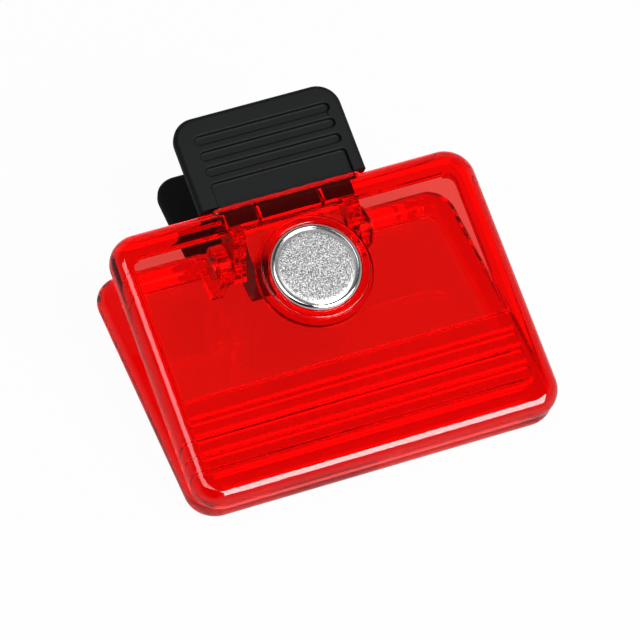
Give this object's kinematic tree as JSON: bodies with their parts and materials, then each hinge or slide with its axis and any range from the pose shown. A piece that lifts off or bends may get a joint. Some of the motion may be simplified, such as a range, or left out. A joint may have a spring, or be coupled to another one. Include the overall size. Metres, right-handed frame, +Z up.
{
  "type": "magnetic memo clip",
  "caption": "Magnetic memo clip with translucent tray-shaped jaws sprung shut at a gripping edge, grooved finger grips that open them, and a round magnet on the rear jaw.",
  "frame": {"origin": "under the middle of the clip, on the surface that the front jaw's outer face lies on", "axes": "+X along the hinge, +Y from the gripping edge to the grips, +Z up from the front jaw to the magnet"},
  "size_m": [0.075, 0.0814, 0.0309],
  "materials": {
    "red_plastic": "polished translucent red polystyrene",
    "black_plastic": "fine matte black",
    "plated_steel": "bright nickel plate",
    "magnet": "grainy sintered, plated",
    "pin_steel": "drawn steel",
    "spring_steel": "plated spring steel, dark at the bend"
  },
  "bodies": {
    "front": {"front_jaw": "red_plastic", "front_grip": "black_plastic", "hinge_pin_left": "pin_steel", "hinge_pin_right": "pin_steel", "leaf_spring": "spring_steel"},
    "rear": {"rear_jaw": "red_plastic", "rear_grip": "black_plastic", "magnet_cup": "plated_steel", "magnet_core": "magnet"}
  },
  "joints": [
    {"name": "jaw_hinge", "type": "hinge", "parent": "front", "child": "rear", "pos_m": [0, 0.00943, 0.01246], "axis": [-1, 0, 0], "range_deg": [0, 30], "stiffness_Nm_per_rad": 0.8, "springref_deg": -25.78, "deforming": ["leaf_spring"]}
  ]
}
